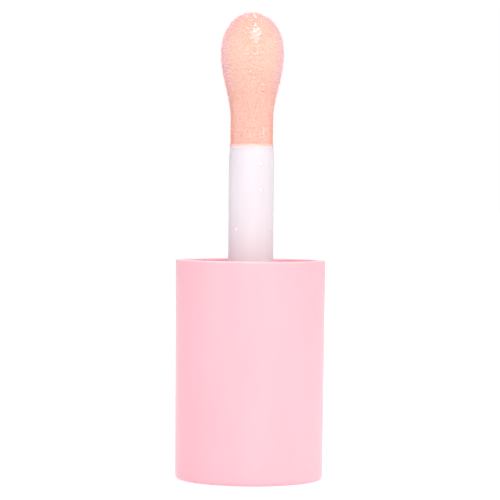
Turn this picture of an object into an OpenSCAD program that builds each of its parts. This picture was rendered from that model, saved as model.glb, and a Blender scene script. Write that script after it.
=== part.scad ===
// Lip gloss cap with its applicator: a pink overcap standing on its closed end, the threaded
// closure and seal inside it, and the wand with its soft flocked tip pointing up.
// Millimetres. The origin is the middle of the overcap's closed end, and +Z runs up the wand.

/* [Overcap] */
// Outside diameter of the overcap at its mouth
cap_d = 20; // [20:0.2:22]
// Height of the overcap
cap_h = 29.25; // [29:0.05:31]
// Wall thickness at the mouth
cap_wall = 1.15; // [1.05:0.05:1.2]
// How much smaller the closed end's radius is than the mouth's
cap_taper = 0.14; // [0:0.02:0.2]
// Thickness of the closed end
cap_floor = 1.6; // [1.2:0.1:2]
// Radius of the rounded edges of the rim
rim_round = 0.2; // [0.15:0.05:0.4]
// Radius of the rounded edge at the closed end
base_round = 0.6; // [0.3:0.1:1]
// Number of ribs that the closure is pushed down on
stop_ribs = 8; // [4:1:12]

/* [Threaded closure] */
// Depth of the closure's mouth below the overcap's rim
mouth_recess = 4.25; // [4.2:0.05:4.8]
// Height of the closure, without the socket under it
closure_h = 12.6; // [12.2:0.2:13]
// Diameter of the thread at its root
thread_d = 15; // [14.6:0.1:15.2]
// How far the thread stands in from its root
thread_depth = 0.65; // [0.5:0.05:0.7]
// Rise of the thread in one turn
thread_pitch = 2.1; // [1.9:0.1:2.2]
// Turns of thread
thread_turns = 2.25; // [1.5:0.25:2.5]
// Number of crush ribs round the closure
grip_ribs = 24; // [12:2:32]

/* [Wand] */
// Diameter of the stem where it leaves the flange
stem_d = 6.2; // [6.1:0.1:6.5]
// Diameter of the stem at its shoulder, under the tip
stem_end_d = 5.96; // [5.9:0.02:6.1]
// Height of the shoulder above the closed end
shoulder_z = 44.2; // [42:0.2:46]
// Diameter of the hollow up the middle
stem_bore_d = 3.4; // [3:0.1:3.6]

/* [Flocked tip] */
// Length of the tip above the shoulder
tip_length = 18.05; // [17:0.05:19]
// Width of the tip over its flock
tip_width = 8.44; // [7.8:0.02:8.8]
// Thickness of the tip over its flock, front to back
tip_thickness = 6; // [5.6:0.1:6.4]
// Diameter of the tip's neck over its flock
neck_d = 5.76; // [5.5:0.02:5.8]
// Length of the flock fibres
flock_length = 0.35; // [0.3:0.05:0.4]

/* [Hidden] */
$fn = 96;

gap = 0.02;           // clearance between pieces that are pressed together
cap_r = cap_d / 2;
base_r = cap_r - cap_taper;
bore_r = cap_r - cap_wall;
seat_r = bore_r - 0.1;         // where the closure is gripped, below the open mouth
thread_r = thread_d / 2;

closure_mouth_z = cap_h - mouth_recess;
deck_t = 1.4;
deck_z = closure_mouth_z - closure_h;        // underside of the deck, on the stop ribs
deck_top_z = deck_z + deck_t;
skirt_r = seat_r - 0.3;
bead_z = deck_z + 2.2;
bead_r = 0.4;

flange_r = 4.1;
flange_t = 1;
spigot_r = 2.6;
socket_wall = 1.4;
socket_depth = 4.6;
socket_z = deck_z - socket_depth;
snap_h = 1.2;                                // the part of the spigot below the socket
spigot_z = socket_z - snap_h;

liner_t = 1;
liner_r = thread_r - thread_depth - 0.1;

stem_r = stem_d / 2;
stem_end_r = stem_end_d / 2;
shoulder_drop = 1.2;                         // the stem draws in over this length to meet the tip
bore_end_z = shoulder_z - 3;
pin_r = 1.6;
pin_length = 3.1;
barb_r = 1.78;

neck_r = neck_d / 2;
shoulder_r = neck_r + 0.02;
tip_z = shoulder_z + tip_length;
neck_z = shoulder_z + 3.8;                   // the width starts to grow here
wide_z = shoulder_z + 12.6;                  // and is greatest here
waist_z = shoulder_z + 4.6;                  // the thickness is least here
thick_z = shoulder_z + 11;                   // and greatest here
waist_half = 2.5;
tip_lean = 0.35;                             // how far the point lies behind the axis
tip_square = 2.05;                           // 2 is an ellipse, and more is blunter
core_inset = flock_length;

flex_z = shoulder_z + 7;                     // middle of the bend in the neck
flex_r = 3.3;                                // the neck is split on this sphere
core_hole_r = 1.3;
core_hole_z = shoulder_z + 12.5;

loft_sides = 40;

// ---- shared shapes ----

// A ring of square section.
module ring(r_out, r_in, z, h)
    translate([0, 0, z])
        difference() {
            cylinder(r = r_out, h = h);
            translate([0, 0, -1]) cylinder(r = r_in, h = h + 2);
        }

// Its children, repeated evenly round Z.
module around(count)
    for (i = [0 : count - 1])
        rotate([0, 0, i * 360 / count]) children();

// A square bar from radius a to radius b, as wide as w, from z1 to z2.
module radial_bar(a, b, w, z1, z2)
    translate([a, -w / 2, z1]) cube([b - a, w, z2 - z1]);

// ---- overcap ----

// Half of the overcap's outside, with its round edges at the rim and at the closed end.
module overcap_outline() {
    polygon([[0, 0], [base_r - base_round, 0], [base_r, base_round],
             [cap_r, cap_h - rim_round], [cap_r - rim_round, cap_h], [0, cap_h]]);
    translate([base_r - base_round, base_round]) circle(r = base_round);
    translate([cap_r - rim_round, cap_h - rim_round]) circle(r = rim_round);
}

// Half of the hollow in it: a wide mouth, the seat, and the groove that the closure's bead snaps into.
module overcap_hollow() {
    mouth_step_z = closure_mouth_z - 0.8;
    polygon([[0, cap_floor], [seat_r - 0.5, cap_floor], [seat_r, cap_floor + 0.5],
             [seat_r, mouth_step_z], [bore_r, mouth_step_z + 0.4],
             [bore_r, cap_h - rim_round], [bore_r + rim_round, cap_h - rim_round],
             [bore_r + rim_round, cap_h + 1], [0, cap_h + 1]]);
    translate([skirt_r, bead_z]) circle(r = bead_r + gap);
}

// The round edge round the inside of the rim.
module inner_edge()
    translate([bore_r + rim_round, cap_h - rim_round]) circle(r = rim_round);

module overcap() color("pink") {
    rotate_extrude() {
        difference() {
            overcap_outline();
            overcap_hollow();
        }
        inner_edge();
    }
    around(stop_ribs)
        radial_bar(seat_r - 2.2, seat_r + 0.3, 0.9, cap_floor - 0.2, deck_z);
}

// ---- threaded closure ----

// One ring of the thread's ridge, at turn t. It fades into the wall at both ends.
function ridge(t, z) =
    let (fade = min(1, t * 8, (thread_turns - t) * 8),
         root = thread_r + 0.25,
         crest = thread_r + 0.1 - (thread_depth + 0.1) * fade)
    [for (p = [[root, -0.75], [crest, -0.3], [crest, 0.3], [root, 0.75]])
        [p[0] * cos(t * 360), p[0] * sin(t * 360), z + t * thread_pitch + p[1]]];

// The ridge, as one solid swept up a right-hand helix.
module thread_ridge(z) {
    steps = round(thread_turns * 40);
    points = [for (i = [0 : steps]) each ridge(i * thread_turns / steps, z)];
    sides = [for (i = [0 : steps - 1], k = [0 : 3])
        let (a = 4 * i + k, b = 4 * i + (k + 1) % 4)
        each [[a, a + 4, b], [b, a + 4, b + 4]]];
    polyhedron(points, concat([[0, 1, 2], [0, 2, 3]], sides,
        [[4 * steps, 4 * steps + 2, 4 * steps + 1], [4 * steps, 4 * steps + 3, 4 * steps + 2]]));
}

module inner_closure() color("white") {
    ring(skirt_r, thread_r, deck_z, closure_h);
    ring(thread_r + 0.2, spigot_r + gap, deck_z, deck_t);
    ring(spigot_r + socket_wall, spigot_r + gap, socket_z, socket_depth + 0.2);
    rotate_extrude() translate([skirt_r, bead_z]) circle(r = bead_r);
    around(grip_ribs)
        radial_bar(skirt_r - 0.2, seat_r - gap, 0.5, bead_z + 1.2, closure_mouth_z - 1.6);
    thread_ridge(closure_mouth_z - 1.9 - thread_turns * thread_pitch);
}

// ---- seal ----

module seal_liner() color("whitesmoke")
    ring(liner_r, flange_r + 0.1, deck_top_z, liner_t);

// ---- wand ----

// The pin that the tip is pushed on to, with two barbs, grown all over by grow.
module pin_shape(grow)
    translate([0, 0, shoulder_z - 0.3])
        rotate_extrude()
            polygon([[0, 0], [pin_r + grow, 0], [pin_r + grow, 0.9], [barb_r + grow, 1], [pin_r + grow, 1.7],
                     [pin_r + grow, 2], [barb_r + grow, 2.1], [pin_r + grow, 2.8],
                     [pin_r - 0.2 + grow, pin_length + 0.3 + grow], [0, pin_length + 0.3 + grow]]);

// The stem on its flange, drawn in at the shoulder to meet the tip.
module stem()
    rotate_extrude()
        polygon([[0, deck_top_z], [flange_r, deck_top_z], [flange_r, deck_top_z + flange_t],
                 [stem_r, deck_top_z + flange_t], [stem_end_r, shoulder_z - shoulder_drop],
                 [shoulder_r, shoulder_z], [0, shoulder_z]]);

module spigot() {
    translate([0, 0, spigot_z]) cylinder(r = spigot_r, h = deck_top_z - spigot_z + 0.2);
    translate([0, 0, spigot_z])
        rotate_extrude()
            polygon([[0, 0], [spigot_r - 0.1, 0], [spigot_r + 0.28, snap_h - 0.35],
                     [spigot_r + 0.28, snap_h - 0.2], [spigot_r, snap_h - 0.05], [0, snap_h - 0.05]]);
}

module wand() color("ghostwhite") {
    slot_w = 0.7;
    difference() {
        union() {
            stem();
            spigot();
            pin_shape(0);
        }
        translate([0, 0, spigot_z - 1]) cylinder(r = stem_bore_d / 2, h = bore_end_z - spigot_z + 1);
        for (turn = [0, 90])
            rotate([0, 0, turn])
                radial_bar(-spigot_r - 1, spigot_r + 1, slot_w, spigot_z - 1, socket_z + 1.6);
    }
}

// ---- flocked tip ----

function smooth(s) = let (c = max(0, min(1, s))) c * c * (3 - 2 * c);

// A round end from size at z0 to nothing at z1.
function blunt(z, z0, z1, size) =
    size * pow(max(0, 1 - pow(max(0, (z - z0) / (z1 - z0)), tip_square)), 1 / tip_square);

// Half the tip's width at height z, on a surface inset from the outside of the flock.
function half_width(z, inset) =
    z > wide_z
        ? blunt(z, wide_z, tip_z - inset, tip_width / 2 - inset)
        : neck_r - inset + (tip_width / 2 - neck_r) * smooth((z - neck_z) / (wide_z - neck_z));

// Half its thickness there. The neck is waisted, and the face narrows to the point.
function half_thickness(z, inset) =
    z > thick_z
        ? blunt(z, thick_z, tip_z - inset, tip_thickness / 2 - inset)
        : z > waist_z
            ? waist_half - inset
                + (tip_thickness / 2 - waist_half) * smooth((z - waist_z) / (thick_z - waist_z))
            : neck_r - inset - (neck_r - waist_half) * smooth((z - shoulder_z) / (waist_z - shoulder_z));

function lean(z) = tip_lean * smooth((z - neck_z) / (tip_z - neck_z));

// Heights of the rings: even up the neck, then closer and closer towards the point.
function ring_heights(z0, inset) = concat(
    [for (i = [0 : 11]) z0 + (wide_z - z0) * i / 12],
    [for (a = [0 : 9 : 81]) wide_z + (tip_z - inset - wide_z) * sin(a)]);

// The tip as a closed solid from z0 up, inset from the outside of the flock.
module tip_loft(z0, inset) {
    heights = ring_heights(z0, inset);
    n = loft_sides;
    last = len(heights) - 1;
    rings = [for (z = heights, k = [0 : n - 1])
        [half_width(z, inset) * cos(k * 360 / n), lean(z) + half_thickness(z, inset) * sin(k * 360 / n), z]];
    points = concat([[0, lean(z0), z0]], rings, [[0, lean(tip_z), tip_z - inset]]);
    bottom = [for (k = [0 : n - 1]) [0, 1 + k, 1 + (k + 1) % n]];
    sides = [for (i = [0 : last - 1], k = [0 : n - 1])
        let (a = 1 + i * n + k, b = 1 + i * n + (k + 1) % n)
        each [[a, a + n, b], [b, a + n, b + n]]];
    point = [for (k = [0 : n - 1]) [1 + last * n + k, len(points) - 1, 1 + last * n + (k + 1) % n]];
    polyhedron(points, concat(bottom, sides, point));
}

// The sphere that splits the neck, so that the paddle can tilt about its centre.
module flex_ball(grow)
    translate([0, 0, flex_z]) sphere(r = flex_r + grow);

// What lies above the split.
module above_split(grow) {
    flex_ball(grow);
    translate([-tip_width, -tip_width, flex_z]) cube([2 * tip_width, 2 * tip_width, tip_length]);
}

module core_hole()
    translate([0, 0, shoulder_z + 1]) cylinder(r = core_hole_r, h = core_hole_z - shoulder_z - 1);

module tip_sleeve() color("mistyrose")
    difference() {
        tip_loft(shoulder_z + gap, core_inset);
        above_split(gap);
        pin_shape(gap);
        core_hole();
    }

module tip_paddle() color("mistyrose")
    difference() {
        intersection() {
            tip_loft(shoulder_z + gap, core_inset);
            above_split(-gap);
        }
        core_hole();
    }

// The coat of fibres is a shell round the core.
module flock_coat()
    difference() {
        tip_loft(shoulder_z + gap, 0);
        tip_loft(shoulder_z - 1, core_inset - gap);
    }

module flock_sleeve() color("lightsalmon")
    difference() {
        flock_coat();
        above_split(gap);
    }

module flock_paddle() color("lightsalmon")
    intersection() {
        flock_coat();
        above_split(-gap);
    }

overcap();
inner_closure();
seal_liner();
wand();
tip_sleeve();
tip_paddle();
flock_sleeve();
flock_paddle();
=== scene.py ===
"""Lip gloss cap, wand and flocked tip: the finished look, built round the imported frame."""
import math
import random

import bmesh
import bpy
from mathutils import Euler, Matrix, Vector, noise


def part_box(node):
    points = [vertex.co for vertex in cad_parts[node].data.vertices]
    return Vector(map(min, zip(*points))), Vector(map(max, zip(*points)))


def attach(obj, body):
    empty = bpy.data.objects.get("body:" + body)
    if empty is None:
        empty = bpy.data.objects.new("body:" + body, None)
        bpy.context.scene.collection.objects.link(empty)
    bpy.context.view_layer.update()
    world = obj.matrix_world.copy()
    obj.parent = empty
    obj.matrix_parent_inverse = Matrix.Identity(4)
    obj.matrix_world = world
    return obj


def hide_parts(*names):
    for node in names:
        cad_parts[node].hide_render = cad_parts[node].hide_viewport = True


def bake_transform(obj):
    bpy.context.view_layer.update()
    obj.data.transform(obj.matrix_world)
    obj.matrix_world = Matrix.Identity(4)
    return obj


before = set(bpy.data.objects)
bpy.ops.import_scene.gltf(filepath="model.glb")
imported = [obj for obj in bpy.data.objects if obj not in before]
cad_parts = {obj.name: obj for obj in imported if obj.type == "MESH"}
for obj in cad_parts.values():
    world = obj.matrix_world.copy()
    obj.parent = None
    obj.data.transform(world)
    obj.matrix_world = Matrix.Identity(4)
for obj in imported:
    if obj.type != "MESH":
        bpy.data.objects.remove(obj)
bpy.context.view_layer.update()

MM = 0.001


# ---- small helpers ----

def smooth(s):
    """0 to 1 with no corner at either end."""
    s = max(0.0, min(1.0, s))
    return s * s * (3 - 2 * s)


def between(a, b, s):
    """From a at s = 0 to b at s = 1."""
    return a + (b - a) * s


def new_object(name, bm):
    """The bmesh as an object at the origin, its place in its mesh."""
    mesh = bpy.data.meshes.new(name)
    bm.to_mesh(mesh)
    bm.free()
    for face in mesh.polygons:
        face.use_smooth = True
    piece = bpy.data.objects.new(name, mesh)
    bpy.context.scene.collection.objects.link(piece)
    return piece


def add_modifier(piece, kind, **settings):
    """Adds a modifier, named for its kind, with its settings."""
    modifier = piece.modifiers.new(kind.lower(), kind)
    for setting, value in settings.items():
        setattr(modifier, setting, value)


def remeshed(bm, cell):
    """The same form as an even skin of square faces of about that size."""
    form = new_object("form", bm)
    add_modifier(form, "REMESH", mode="VOXEL", voxel_size=cell)
    even = bmesh.new()
    even.from_object(form, bpy.context.evaluated_depsgraph_get())
    mesh = form.data
    bpy.data.objects.remove(form)
    bpy.data.meshes.remove(mesh)
    return even


def relax(bm):
    """Evens out the skin's small steps."""
    bmesh.ops.smooth_vert(bm, verts=bm.verts, factor=0.5, use_axis_x=True, use_axis_y=True,
                          use_axis_z=True)


# ---- measures ----

# from the frame
PADDLE_LOW, PADDLE_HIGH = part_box("flock_paddle")
ROOT_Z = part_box("flock_sleeve")[0].z          # where the flock starts, on the wand's shoulder
TIP_Z = PADDLE_HIGH.z
HALF_WIDTH = PADDLE_HIGH.x
HALF_THICKNESS = (PADDLE_HIGH.y - PADDLE_LOW.y) / 2
STEM_FOOT_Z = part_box("seal_liner")[1].z       # where the stem leaves its flange

# the stem and its shoulder
STEM_FOOT_R = 3.1 * MM
STEM_END_R = 2.98 * MM                        # where the shoulder starts
SHOULDER_DROP = 1.2 * MM
SHOULDER_R = 2.9 * MM

# the tip
NECK_R = 2.88 * MM
WAIST_HALF = 2.5 * MM                         # half the neck's least thickness
NECK_Z = ROOT_Z + 3.8 * MM                    # the width grows from here
WIDE_Z = ROOT_Z + 12.6 * MM                   # to here
WAIST_Z = ROOT_Z + 4.6 * MM                   # the thickness is least here
THICK_Z = ROOT_Z + 11 * MM                    # and greatest here
LEAN = 0.35 * MM                              # how far the point lies behind the axis
BLUNTNESS = 2.05                              # 2 is an ellipse, and more is blunter
SINK = 0.25 * MM                              # how far the coat's end reaches into the shoulder

# the flock
FIBRE = 0.16 * MM                             # how far the longest tuft stands out of the soaked mass
MASS_INSET = FIBRE * 0.9                      # how far that mass lies inside the tip's outline
TUFT = 0.167 * MM                             # from one tuft to the next
SCATTER = 0.33                                # how far a tuft stands off the even grid, in tufts
SHORTEST = 0.25                               # the shortest tuft, where the longest is 1
TUFT_END = 0.6                                # a tuft's width at its end, where its root is 1
CLUMP = 0.3 * MM                              # the size of the patches of longer and shorter tufts
ROOTED = 0.6 * MM                             # the tufts reach their length this far over the shoulder
STRAY_SHARE = 0.35                            # how many tufts of the dry edge end in a stray fibre
STRAY_END = 0.3                               # a stray fibre's width, where its tuft is 1

# the oil
FILM_CELL = 0.09 * MM                         # the size of the oil film's faces
FILM_LEVEL = 0.45                             # the oil bridges the fibres where it is wetter than this
FILM_DEPTH = 0.06 * MM
FILM_WAVE = 0.35 * MM                         # from one ripple of the film to the next
RIPPLE = 0.03 * MM                            # and how high they are
POOL_GRAIN = 0.28 * MM                        # the size of the jags in the pools' edges
SPECK = 0.22 * MM                             # the size of the specks between them
# where it has gathered on each face: x, height over the shoulder, half width and half height in mm
POOLS = {"front": ((0.35, 14.9, 0.6, 1.25), (1.5, 1.9, 0.22, 1.3)),
         "back": ((-0.9, 13.2, 0.8, 0.9), (-1.3, 5.5, 0.25, 1.1))}
# drops on the stem's front right: turn in degrees, distance below the shoulder's top and radius in mm
FRONT_DROPS = ((-66, 2.2, 0.2), (-64, 4.1, 0.16), (-66, 5.7, 0.2), (-62, 8.7, 0.14))
OTHER_DROPS = 14                              # how many lie elsewhere on it


# ---- camera ----

CAMERA_DISTANCE = 316.8 * MM      # from the cap's axis
CAMERA_ASIDE = -0.09 * MM
CAMERA_HEIGHT = 37.7 * MM
CAMERA_PITCH = 0.0225             # radians below the horizontal
CAMERA_ROLL = 0.0093              # radians; the object leans a little to the right
LENS = 170.6                      # mm
SENSOR = 36                       # mm
LIGHT_BOUNCES = 10                # light finds its way out from between the tufts

camera = bpy.data.objects.new("camera", bpy.data.cameras.new("camera"))
bpy.context.scene.collection.objects.link(camera)
camera.data.lens = LENS
camera.data.sensor_width = SENSOR
camera.data.clip_start = 10 * MM
camera.location = (CAMERA_ASIDE, -CAMERA_DISTANCE, CAMERA_HEIGHT)
pitch = Euler((math.pi / 2 - CAMERA_PITCH, 0, 0)).to_matrix()
roll = Euler((0, 0, CAMERA_ROLL)).to_matrix()
camera.rotation_euler = (pitch @ roll).to_euler()
bpy.context.scene.camera = camera
bpy.context.scene.view_settings.view_transform = "Standard"
bpy.context.scene.cycles.diffuse_bounces = LIGHT_BOUNCES


# ---- materials ----

WAND_DARK, WAND_LIGHT = "#e3dbdd", "#e8e0e3"
FLOOR_DARK, FLOOR_LIGHT = "#a3a5ac", "#a7a9b0"
FLOOR_GLOW = 0.62
# the flock's colours, from the fibres' roots to their ends
NECK_FLOCK = ((0.0, "#ffb49b"), (1.0, "#ffd1bf"))
# the neck's sides: painted shade, deeper where the round neck turns away from the light
NECK_SIDE_SHADE = ((0.0, "#ff9c82"), (1.0, "#ffb69e"))
OILY_FLOCK = ((0.0, "#ffbf9f"), (1.0, "#ffdcca"))
# round the paddle's edge: drier fibres, pinker, with a painted back-light glow through the fuzz
DRY_BACKLIT_FLOCK = ((0.0, "#ffbab6"), (1.0, "#ffd6da"))
CLUMP_TINT = "#ffdcd2"                        # where the fibres stick together
# painted shade at the point, to hold down the strong light from overhead
POINT_SHADE_TINT = "#ffa397"                        # at the point
FUZZ_TINT = "#ffb4ae"


def colour(hex_value):
    """An sRGB hex colour as linear RGBA."""
    parts = [int(hex_value[i:i + 2], 16) / 255 for i in (1, 3, 5)]
    return [c / 12.92 if c <= 0.04045 else ((c + 0.055) / 1.055) ** 2.4 for c in parts] + [1.0]


def add(tree, kind, inputs=(), stops=(), **settings):
    """Adds a node with its settings and links.

    inputs maps a socket to a value, to the socket that feeds it, or to a node whose first output does.
    stops are a colour ramp's places and hex colours.
    """
    made = tree.nodes.new(kind)
    for setting, value in settings.items():
        setattr(made, setting, value)
    for key, value in dict(inputs).items():
        if isinstance(value, bpy.types.Node):
            value = value.outputs[0]
        if isinstance(value, bpy.types.NodeSocket):
            tree.links.new(value, made.inputs[key])
        else:
            made.inputs[key].default_value = value
    if stops:
        elements = made.color_ramp.elements
        while len(elements) < len(stops):
            elements.new(1.0)
        for element, (spot, hex_value) in zip(elements, stops):
            element.position = spot
            element.color = colour(hex_value)
    return made


def new_material(name):
    """(material, its empty node tree)."""
    made = bpy.data.materials.new(name)
    made.use_nodes = True
    made.node_tree.nodes.clear()
    return made, made.node_tree


def pink_abs():
    """Moulded ABS with pink masterbatch: even in colour, satin, with faint flow marks up the wall."""
    made, tree = new_material("moulded_pink_abs")
    place = add(tree, "ShaderNodeTexCoord").outputs["Object"]
    upright = add(tree, "ShaderNodeMapping", {"Vector": place, "Scale": (1, 1, 0.25)})
    flow = add(tree, "ShaderNodeTexNoise", {"Vector": upright, "Scale": 1 / (6 * MM), "Detail": 2})
    polish = add(tree, "ShaderNodeTexNoise", {"Vector": place, "Scale": 1 / (2.5 * MM), "Detail": 2})
    skin = add(tree, "ShaderNodeTexNoise", {"Vector": place, "Scale": 1 / (0.12 * MM), "Detail": 3})
    tint = add(tree, "ShaderNodeValToRGB", {"Fac": flow}, stops=((0.35, "#fbb9c0"), (0.65, "#fbbdc4")))
    gloss = add(tree, "ShaderNodeMapRange", {"Value": polish, "From Min": 0.3, "From Max": 0.7,
                                             "To Min": 0.3, "To Max": 0.38})
    relief = add(tree, "ShaderNodeBump", {"Height": skin, "Distance": 0.0015 * MM})
    shader = add(tree, "ShaderNodeBsdfPrincipled",
                 {"Base Color": tint, "Roughness": gloss, "Normal": relief, "IOR": 1.53,
                  "Subsurface Weight": 0.3, "Subsurface Radius": (1.0, 0.6, 0.6),
                  "Subsurface Scale": 0.6 * MM})
    add(tree, "ShaderNodeOutputMaterial", {"Surface": shader})
    return made


def closure_pp():
    """Natural polypropylene, moulded: waxy, off-white, a little translucent."""
    made, tree = new_material("natural_polypropylene")
    place = add(tree, "ShaderNodeTexCoord").outputs["Object"]
    cloud = add(tree, "ShaderNodeTexNoise", {"Vector": place, "Scale": 1 / (3 * MM), "Detail": 2})
    polish = add(tree, "ShaderNodeTexNoise", {"Vector": place, "Scale": 1 / (1.2 * MM), "Detail": 2})
    skin = add(tree, "ShaderNodeTexNoise", {"Vector": place, "Scale": 1 / (0.15 * MM), "Detail": 2})
    tint = add(tree, "ShaderNodeValToRGB", {"Fac": cloud}, stops=((0.3, "#f3f0ef"), (0.7, "#f8f6f5")))
    gloss = add(tree, "ShaderNodeMapRange", {"Value": polish, "From Min": 0.3, "From Max": 0.7,
                                             "To Min": 0.38, "To Max": 0.5})
    relief = add(tree, "ShaderNodeBump", {"Height": skin, "Distance": 0.002 * MM})
    shader = add(tree, "ShaderNodeBsdfPrincipled",
                 {"Base Color": tint, "Roughness": gloss, "Normal": relief, "IOR": 1.49,
                  "Subsurface Weight": 0.3, "Subsurface Radius": (1.0, 0.9, 0.85),
                  "Subsurface Scale": 1.0 * MM})
    add(tree, "ShaderNodeOutputMaterial", {"Surface": shader})
    return made


def liner_foam():
    """Closed-cell polyethylene foam: matt white, with cells about 0.2 mm across."""
    made, tree = new_material("polyethylene_foam")
    place = add(tree, "ShaderNodeTexCoord").outputs["Object"]
    cells = add(tree, "ShaderNodeTexVoronoi", {"Vector": place, "Scale": 1 / (0.22 * MM)})
    wear = add(tree, "ShaderNodeTexNoise", {"Vector": place, "Scale": 1 / (0.8 * MM), "Detail": 2})
    tint = add(tree, "ShaderNodeValToRGB", {"Fac": cells}, stops=((0.1, "#f3f2f0"), (0.8, "#e6e4e2")))
    dullness = add(tree, "ShaderNodeMapRange", {"Value": wear, "From Min": 0.3, "From Max": 0.7,
                                                "To Min": 0.7, "To Max": 0.85})
    relief = add(tree, "ShaderNodeBump", {"Height": cells, "Distance": 0.03 * MM})
    shader = add(tree, "ShaderNodeBsdfPrincipled",
                 {"Base Color": tint, "Roughness": dullness, "Normal": relief, "IOR": 1.5})
    add(tree, "ShaderNodeOutputMaterial", {"Surface": shader})
    return made


def wand_pp():
    """Milky polypropylene, moulded: light goes nearly a millimetre in, so its shade is soft."""
    made, tree = new_material("milky_polypropylene")
    place = add(tree, "ShaderNodeTexCoord").outputs["Object"]
    upright = add(tree, "ShaderNodeMapping", {"Vector": place, "Scale": (1, 1, 0.15)})
    flow = add(tree, "ShaderNodeTexNoise", {"Vector": upright, "Scale": 1 / (1.5 * MM), "Detail": 2})
    polish = add(tree, "ShaderNodeTexNoise", {"Vector": place, "Scale": 1 / (1.5 * MM), "Detail": 2})
    skin = add(tree, "ShaderNodeTexNoise", {"Vector": place, "Scale": 1 / (0.2 * MM), "Detail": 2})
    tint = add(tree, "ShaderNodeValToRGB", {"Fac": flow}, stops=((0.3, WAND_DARK), (0.7, WAND_LIGHT)))
    gloss = add(tree, "ShaderNodeMapRange", {"Value": polish, "From Min": 0.3, "From Max": 0.7,
                                             "To Min": 0.28, "To Max": 0.38})
    relief = add(tree, "ShaderNodeBump", {"Height": skin, "Distance": 0.001 * MM})
    shader = add(tree, "ShaderNodeBsdfPrincipled",
                 {"Base Color": tint, "Roughness": gloss, "Normal": relief, "IOR": 1.49,
                  "Subsurface Weight": 0.5, "Subsurface Radius": (1.0, 0.85, 0.88),
                  "Subsurface Scale": 0.8 * MM})
    add(tree, "ShaderNodeOutputMaterial", {"Surface": shader})
    return made


def nylon_flock():
    """Nylon flock on a soft core: matt fibres, deep at their roots and paler at their ends.

    The vertex attributes fibre and edge say how far out a point is and how near the edge.
    Oil soaks the two faces to peach; round the paddle's edge the fibres are drier and pink, with painted
    back-light glow in that pink. The wet neck is deeper in colour than the rest, and its sides deeper still
    with painted shade. The point is deeper too, with painted shade that holds down the strong light from
    overhead. The fuzz takes a pink sheen where it is seen edge on.
    """
    made, tree = new_material("nylon_flock")
    place = add(tree, "ShaderNodeTexCoord").outputs["Object"]
    fibre = add(tree, "ShaderNodeAttribute", attribute_name="fibre").outputs["Fac"]
    edge = add(tree, "ShaderNodeAttribute", attribute_name="edge").outputs["Fac"]
    height = add(tree, "ShaderNodeSeparateXYZ", {"Vector": place}).outputs["Z"]
    along = add(tree, "ShaderNodeMapRange", {"Value": height, "From Min": ROOT_Z + 3.5 * MM,
                                             "From Max": ROOT_Z + 10 * MM})
    soaked = add(tree, "ShaderNodeValToRGB", {"Fac": fibre}, stops=NECK_FLOCK)
    # painted shade on the neck's sides, mixed in by the edge attribute
    side_shade = add(tree, "ShaderNodeValToRGB", {"Fac": fibre}, stops=NECK_SIDE_SHADE)
    neck = add(tree, "ShaderNodeMix", {"Factor": edge, 6: soaked, 7: side_shade}, data_type="RGBA")
    oily = add(tree, "ShaderNodeValToRGB", {"Fac": fibre}, stops=OILY_FLOCK)
    # the edge's colour: drier fibres with painted back-light glow
    pink = add(tree, "ShaderNodeValToRGB", {"Fac": fibre}, stops=DRY_BACKLIT_FLOCK)
    head = add(tree, "ShaderNodeMix", {"Factor": edge, 6: oily, 7: pink}, data_type="RGBA")
    whole = add(tree, "ShaderNodeMix", {"Factor": along, 6: neck.outputs[2], 7: head.outputs[2]},
                data_type="RGBA")
    clumps = add(tree, "ShaderNodeTexNoise", {"Vector": place, "Scale": 1 / (0.25 * MM), "Detail": 3})
    paler = add(tree, "ShaderNodeMapRange", {"Value": clumps, "From Min": 0.35, "From Max": 0.7,
                                             "To Min": 0.0, "To Max": 0.5})
    clumped = add(tree, "ShaderNodeMix", {"Factor": paler, 6: whole.outputs[2],
                                          7: colour(CLUMP_TINT)}, data_type="RGBA")
    # painted shade at the point: deeper towards the top, where the overhead light is strongest
    point_shade = add(tree, "ShaderNodeMapRange", {"Value": height, "From Min": TIP_Z - 4.5 * MM,
                                             "From Max": TIP_Z, "To Max": 0.5})
    tint = add(tree, "ShaderNodeMix", {"Factor": point_shade, 6: clumped.outputs[2],
                                       7: colour(POINT_SHADE_TINT)}, data_type="RGBA")
    dullness = add(tree, "ShaderNodeMapRange", {"Value": edge, "To Min": 0.5, "To Max": 0.8})
    shader = add(tree, "ShaderNodeBsdfPrincipled",
                 {"Base Color": tint.outputs[2], "Roughness": dullness, "IOR": 1.45,
                  "Sheen Weight": 0.4, "Sheen Roughness": 0.4, "Sheen Tint": colour(FUZZ_TINT)})
    add(tree, "ShaderNodeOutputMaterial", {"Surface": shader})
    return made


def lip_oil():
    """Lip oil that bridges the fibres: a pale wet skin, then, where it meets the stem, a painted pink glow
    and clear.
    """
    made, tree = new_material("lip_oil")
    place = add(tree, "ShaderNodeTexCoord").outputs["Object"]
    height = add(tree, "ShaderNodeSeparateXYZ", {"Vector": place}).outputs["Z"]
    rise = add(tree, "ShaderNodeMapRange", {"Value": height, "From Min": ROOT_Z - 0.1 * MM,
                                            "From Max": ROOT_Z + 1.0 * MM})
    # the pink band just over the stem is painted glow: the flock's light shining through the stem's end
    tint = add(tree, "ShaderNodeValToRGB", {"Fac": rise},
               stops=((0.0, "#efe4e8"), (0.09, "#f9e2e4"), (0.22, "#ffd4ce"), (0.4, "#ffc2b4"),
                      (0.55, "#ffb9a6"), (0.75, "#ffbeae"), (1.0, "#ffc0b0")))
    ripple = add(tree, "ShaderNodeTexNoise", {"Vector": place, "Scale": 1 / (0.4 * MM), "Detail": 2})
    gloss = add(tree, "ShaderNodeMapRange", {"Value": ripple, "From Min": 0.3, "From Max": 0.7,
                                             "To Min": 0.06, "To Max": 0.2})
    shader = add(tree, "ShaderNodeBsdfPrincipled",
                 {"Base Color": tint, "Roughness": gloss, "IOR": 1.47,
                  "Coat Weight": 0.4, "Coat Roughness": 0.05})
    add(tree, "ShaderNodeOutputMaterial", {"Surface": shader})
    return made


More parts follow.
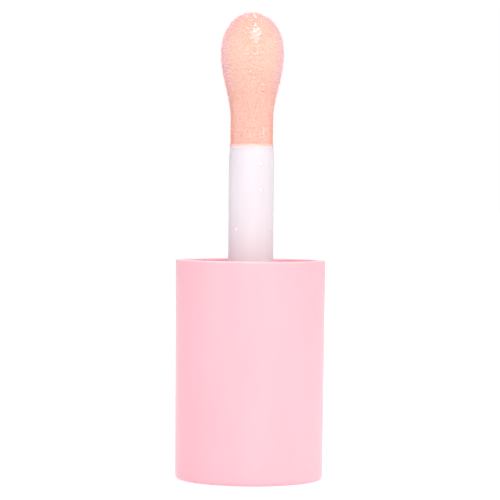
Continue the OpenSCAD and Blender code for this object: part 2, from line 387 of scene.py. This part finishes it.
def oil_bead():
    """A smear of lip oil on the stem: clear and shiny, so it takes the stem's white."""
    made, tree = new_material("lip_oil_drop")
    place = add(tree, "ShaderNodeTexCoord").outputs["Object"]
    cloud = add(tree, "ShaderNodeTexNoise", {"Vector": place, "Scale": 1 / (0.5 * MM), "Detail": 2})
    tint = add(tree, "ShaderNodeValToRGB", {"Fac": cloud}, stops=((0.3, "#f1e9ec"), (0.7, "#f6eff1")))
    gloss = add(tree, "ShaderNodeMapRange", {"Value": cloud, "From Min": 0.3, "From Max": 0.7,
                                             "To Min": 0.03, "To Max": 0.1})
    shader = add(tree, "ShaderNodeBsdfPrincipled", {"Base Color": tint, "Roughness": gloss, "IOR": 1.47})
    add(tree, "ShaderNodeOutputMaterial", {"Surface": shader})
    return made


def studio_white():
    """A light table's matt acrylic: it glows, so the shadow on it stays faint."""
    made, tree = new_material("studio_floor")
    place = add(tree, "ShaderNodeTexCoord").outputs["Object"]
    patches = add(tree, "ShaderNodeTexNoise", {"Vector": place, "Scale": 1 / (60 * MM), "Detail": 2})
    tint = add(tree, "ShaderNodeValToRGB", {"Fac": patches}, stops=((0.3, FLOOR_DARK), (0.7, FLOOR_LIGHT)))
    shader = add(tree, "ShaderNodeBsdfPrincipled",
                 {"Base Color": tint, "Roughness": 0.8,
                  "Emission Color": (1, 1, 1, 1), "Emission Strength": FLOOR_GLOW})
    add(tree, "ShaderNodeOutputMaterial", {"Surface": shader})
    return made


# ---- what stays from the frame ----

def smooth_cad(node, material):
    """A CAD node with its true curves smoothed for the eye and a new material."""
    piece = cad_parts[node]
    piece.data.materials.clear()
    piece.data.materials.append(material)
    for face in piece.data.polygons:
        face.use_smooth = True
    add_modifier(piece, "WELD", merge_threshold=0.0005 * MM)
    add_modifier(piece, "EDGE_SPLIT", split_angle=math.radians(32))
    add_modifier(piece, "WEIGHTED_NORMAL", weight=100)


for node_name, node_material in (("overcap", pink_abs()), ("inner_closure", closure_pp()),
                                 ("seal_liner", liner_foam()), ("wand", wand_pp())):
    smooth_cad(node_name, node_material)


# ---- the flocked tip ----

def outline(z, inset):
    """(half width, half thickness, lean) of the tip at height z, inset from the ends of the fibres."""
    top = TIP_Z - inset
    wide = HALF_WIDTH - inset
    thick = HALF_THICKNESS - inset
    neck = NECK_R - inset
    waist = WAIST_HALF - inset

    def blunt(start, size):
        s = max(0.0, min(1.0, (z - start) / (top - start)))
        return size * (1 - s ** BLUNTNESS) ** (1 / BLUNTNESS)

    if z > WIDE_Z:
        across = blunt(WIDE_Z, wide)
    else:
        across = between(neck, wide, smooth((z - NECK_Z) / (WIDE_Z - NECK_Z)))
    if z > THICK_Z:
        through = blunt(THICK_Z, thick)
    elif z > WAIST_Z:
        through = between(waist, thick, smooth((z - WAIST_Z) / (THICK_Z - WAIST_Z)))
    else:
        through = between(neck, waist, smooth((z - ROOT_Z) / (WAIST_Z - ROOT_Z)))
    return across, through, LEAN * smooth((z - NECK_Z) / (TIP_Z - NECK_Z))


def tip_form(cell):
    """The soaked mass in even square faces of about that size: a sphere drawn out to the outline."""
    rings, around = 160, 96
    bm = bmesh.new()
    bmesh.ops.create_uvsphere(bm, u_segments=around, v_segments=rings, radius=1)
    for vert in bm.verts:
        turn = math.atan2(vert.co.y, vert.co.x)
        ring = rings * math.acos(max(-1.0, min(1.0, -vert.co.z))) / math.pi
        # the first ring is the flat end, sunk in the shoulder; the others gather towards the point
        rise = math.sin(max(0.0, ring - 1) / (rings - 1) * math.pi / 2)
        z = between(ROOT_Z - SINK, TIP_Z - MASS_INSET, rise)
        across, through, lean = outline(z, MASS_INSET)
        if ring < 0.5:
            across = through = 0
        vert.co = (across * math.cos(turn), lean + through * math.sin(turn), z)
    even = remeshed(bm, cell)
    relax(even)
    bmesh.ops.recalc_face_normals(even, faces=even.faces)
    return even


def wetness(place):
    """How much oil lies on the flock there, 0 to 1: pools, and specks down the middle of both faces."""
    face = "front" if place.y < LEAN else "back"
    side = 1 if face == "front" else -1
    up = place.z - ROOT_Z
    ragged = 1.5 + 0.9 * noise.noise(place / POOL_GRAIN)
    pool = max(smooth(ragged - math.hypot((place.x / MM - x) / half_wide, (up / MM - z) / half_high))
               for x, z, half_wide, half_high in POOLS[face])
    # the specks' band starts 5 mm over the shoulder, near one side, then nears the middle and widens
    drift = side * between(1.55, 0.25, smooth((up / MM - 6.8) / 4.0)) * MM
    reach = between(0.5, 1.7, smooth((up / MM - 5.0) / 9.0)) * MM
    middle = smooth(1.4 - abs(place.x - drift) / reach) * smooth((up / MM - 5.0) / 2.0)
    # drawn out along the tip and slanted
    dashes = noise.noise(Vector((place.x + 0.5 * place.z, place.y, 0.6 * place.z)) / SPECK)
    return max(0.0, min(1.0, max(pool, middle * (0.32 + 1.9 * dashes))))


def on_paddle(place):
    """0 on the neck, 1 on the paddle."""
    return smooth((place.z - ROOT_Z - 5 * MM) / (4 * MM))


def edge_share(place, normal):
    """0 on the two oily faces, 1 round the edge: a broad band on the paddle, drier fibres with painted
    back-light glow, and a thin line on the neck, where it brings painted shade.
    """
    broad = smooth((0.96 - abs(normal.y)) / 0.5)
    thin = smooth((0.7 - abs(normal.y)) / 0.35)
    return between(thin, broad, on_paddle(place))


def tangential(normal, amount, rng):
    """A random push of up to amount along the surface."""
    push = Vector([rng.uniform(-1, 1) for _ in range(3)])
    return (push - normal * push.dot(normal)) * amount


def flock_coat():
    """The fibres, as tufts drawn out of an even skin: each face of the form becomes one tuft."""
    rng = random.Random(4)
    bm = tip_form(TUFT)
    bm.normal_update()
    fibre = bm.verts.layers.float.new("fibre")
    edge = bm.verts.layers.float.new("edge")
    for vert in bm.verts:
        vert[edge] = edge_share(vert.co, vert.normal)
        vert.co += tangential(vert.normal, SCATTER * TUFT, rng)
    bm.normal_update()
    ends = bmesh.ops.extrude_discrete_faces(bm, faces=bm.faces[:])["faces"]
    bm.normal_update()
    for face in ends:
        middle = face.calc_center_median()
        clump = 0.5 + 0.8 * noise.noise(middle / CLUMP)
        soaked = 1 - 0.5 * wetness(middle)
        rooted = smooth((middle.z - ROOT_Z) / ROOTED)
        length = FIBRE * between(SHORTEST, 1.0, 0.5 * rng.random() + 0.5 * clump) * soaked * rooted
        tip = middle + face.normal * length + tangential(face.normal, 0.3 * length, rng)
        for vert in face.verts:
            vert.co = tip + (vert.co - middle) * TUFT_END
            vert[fibre] = length / FIBRE
    # round the dry edge some tufts end in a stray fibre, combed towards the point
    strays = [face for face in ends
              if rng.random() < STRAY_SHARE * face.verts[0][edge] * on_paddle(face.verts[0].co)]
    bm.normal_update()
    for face in bmesh.ops.extrude_discrete_faces(bm, faces=strays)["faces"]:
        middle = face.calc_center_median()
        reach = face.normal * rng.uniform(0.06, 0.16) * MM + Vector((0, 0, rng.uniform(0, 0.1) * MM))
        for vert in face.verts:
            vert.co = middle + reach + (vert.co - middle) * STRAY_END
            vert[fibre] = 1.0
    return bm


def oil_film():
    """Oil that bridges the fibres: a thin uneven skin where the flock is wettest."""
    bm = tip_form(FILM_CELL)
    dry = [face for face in bm.faces if wetness(face.calc_center_median()) < FILM_LEVEL]
    bmesh.ops.delete(bm, geom=dry, context="FACES")
    bm.normal_update()
    for vert in bm.verts:
        wet = smooth((wetness(vert.co) - FILM_LEVEL) / 0.4)
        waves = noise.noise(vert.co / FILM_WAVE + Vector((1, 8, 2)))
        vert.co += vert.normal * (FIBRE * between(0.45, 1.0, wet) + RIPPLE * waves)
    relax(bm)
    return bm


def oil_collar():
    """The oil that gathers round the neck's root, in the corner that it makes with the stem's shoulder."""
    bm = bmesh.new()
    inside = NECK_R - 0.25 * MM
    foot, top = -0.14, 0.5
    # radius, and height over the shoulder in mm
    section = [(inside, top), (NECK_R - 0.04 * MM, top), (NECK_R + 0.01 * MM, 0.36),
               (SHOULDER_R - 0.01 * MM, 0.1), (SHOULDER_R + 0.012 * MM, -0.06),
               (SHOULDER_R - 0.03 * MM, foot), (inside, foot)]
    verts = [bm.verts.new((r, 0, ROOT_Z + up * MM)) for r, up in section]
    edges = [bm.edges.new((a, b)) for a, b in zip(verts, verts[1:] + verts[:1])]
    bmesh.ops.spin(bm, geom=verts + edges, cent=(0, 0, 0), axis=(0, 0, 1), angle=2 * math.pi, steps=96,
                   use_merge=True)
    bmesh.ops.remove_doubles(bm, verts=bm.verts, dist=0.0001 * MM)
    bmesh.ops.recalc_face_normals(bm, faces=bm.faces)
    return bm


def bend_with_neck(piece):
    """Bakes the piece's place into its mesh."""
    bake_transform(piece)


coat = new_object("flock_coat", flock_coat())
coat.data.materials.append(nylon_flock())
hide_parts("tip_sleeve", "tip_paddle", "flock_sleeve", "flock_paddle")
bend_with_neck(coat)

film = new_object("oil_film", oil_film())
film.data.materials.append(lip_oil())
add_modifier(film, "SOLIDIFY", thickness=FILM_DEPTH, offset=-1)
add_modifier(film, "SUBSURF", levels=1, render_levels=1)
bend_with_neck(film)

collar = new_object("oil_collar", oil_collar())
collar.data.materials.append(film.data.materials[0])
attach(collar, "cap")


# ---- oil on the wand ----

def stem_radius(z):
    """The stem's radius at height z."""
    start = ROOT_Z - SHOULDER_DROP
    if z < start:
        return between(STEM_FOOT_R, STEM_END_R, (z - STEM_FOOT_Z) / (start - STEM_FOOT_Z))
    return between(STEM_END_R, SHOULDER_R, (z - start) / SHOULDER_DROP)


def oil_drops():
    """Small flattened drops that the tip left on the stem."""
    rng = random.Random(11)
    others = [(rng.uniform(-40, 230), rng.uniform(1, 11), rng.uniform(0.08, 0.2))
              for _ in range(OTHER_DROPS)]
    bm = bmesh.new()
    for turn, below, size in list(FRONT_DROPS) + others:
        a = math.radians(turn)
        made = bmesh.ops.create_uvsphere(bm, u_segments=16, v_segments=10, radius=size * MM)["verts"]
        bmesh.ops.scale(bm, verts=made, vec=(0.35, 1.0, rng.uniform(1.1, 1.6)))
        bmesh.ops.rotate(bm, verts=made, cent=(0, 0, 0), matrix=Euler((0, 0, a)).to_matrix())
        z = ROOT_Z - below * MM
        r = stem_radius(z)
        bmesh.ops.translate(bm, verts=made, vec=(r * math.cos(a), r * math.sin(a), z))
    return bm


drops = new_object("oil_drops", oil_drops())
drops.data.materials.append(oil_bead())
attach(drops, "cap")


# ---- floor and light ----

DOME_LOW, DOME_HIGH = 0.47, 2.05        # at the horizon and overhead
DOME_FRONT, DOME_BACK = 1.0, 0.68       # how much of that comes from in front and from behind
DOME_LEFT, DOME_MIDDLE, DOME_RIGHT = "#8a8698", "#ffffff", "#d8d8dc"
FLOOR_HALF = 6                          # metres
# softboxes: name, degrees to the right of the camera, degrees up, height of the aim in mm,
# distance in mm, mm across, W
LAMPS = (("key", 30, 25, 30, 600, 200, 0.3),
         ("near", -48, 42, 54, 180, 60, 0.058),
         ("top", 8, 54, 30, 600, 160, 0.92),
         ("glint", -156, 43, 30, 600, 90, 0.4),
         ("back", 176, 38, 30, 600, 220, 0.55))


def studio():
    """A pale floor, a soft white dome and softboxes."""
    floor_bm = bmesh.new()
    bmesh.ops.create_grid(floor_bm, x_segments=1, y_segments=1, size=FLOOR_HALF)
    floor = new_object("studio_floor", floor_bm)
    floor.data.materials.append(studio_white())

    # the dome is brighter overhead and in front; what the camera sees of it is plain white
    world = bpy.data.worlds.new("studio")
    bpy.context.scene.world = world
    world.use_nodes = True
    tree = world.node_tree
    tree.nodes.clear()
    way = add(tree, "ShaderNodeTexCoord").outputs["Generated"]
    direction = add(tree, "ShaderNodeSeparateXYZ", {"Vector": way})
    height = add(tree, "ShaderNodeMapRange", {"Value": direction.outputs["Z"], "To Min": DOME_LOW,
                                              "To Max": DOME_HIGH})
    depth = add(tree, "ShaderNodeMapRange", {"Value": direction.outputs["Y"], "From Min": -0.5,
                                             "From Max": 1, "To Min": DOME_FRONT, "To Max": DOME_BACK})
    strength = add(tree, "ShaderNodeMath", {0: height, 1: depth}, operation="MULTIPLY")
    across = add(tree, "ShaderNodeMapRange", {"Value": direction.outputs["X"], "From Min": -1,
                                              "From Max": 1})
    tint = add(tree, "ShaderNodeValToRGB", {"Fac": across},
               stops=((0.0, DOME_LEFT), (0.5, DOME_MIDDLE), (1.0, DOME_RIGHT)))
    lit = add(tree, "ShaderNodeBackground", {"Color": tint, "Strength": strength})
    seen = add(tree, "ShaderNodeBackground", {"Color": (1, 1, 1, 1), "Strength": 1.0})
    path = add(tree, "ShaderNodeLightPath").outputs["Is Camera Ray"]
    mixed = add(tree, "ShaderNodeMixShader", {0: path, 1: lit, 2: seen})
    add(tree, "ShaderNodeOutputWorld", {"Surface": mixed})

    for name, azimuth, elevation, aim_height, far, size, power in LAMPS:
        light = bpy.data.lights.new(name, "AREA")
        light.shape = "SQUARE"
        light.size = size * MM
        light.energy = power
        lamp = bpy.data.objects.new(name, light)
        bpy.context.scene.collection.objects.link(lamp)
        a, e = math.radians(azimuth), math.radians(elevation)
        aim = Vector((0, 0, aim_height * MM))
        way_out = Vector((math.sin(a) * math.cos(e), -math.cos(a) * math.cos(e), math.sin(e)))
        lamp.location = aim + far * MM * way_out
        lamp.rotation_euler = (lamp.location - aim).to_track_quat("Z", "Y").to_euler()


studio()
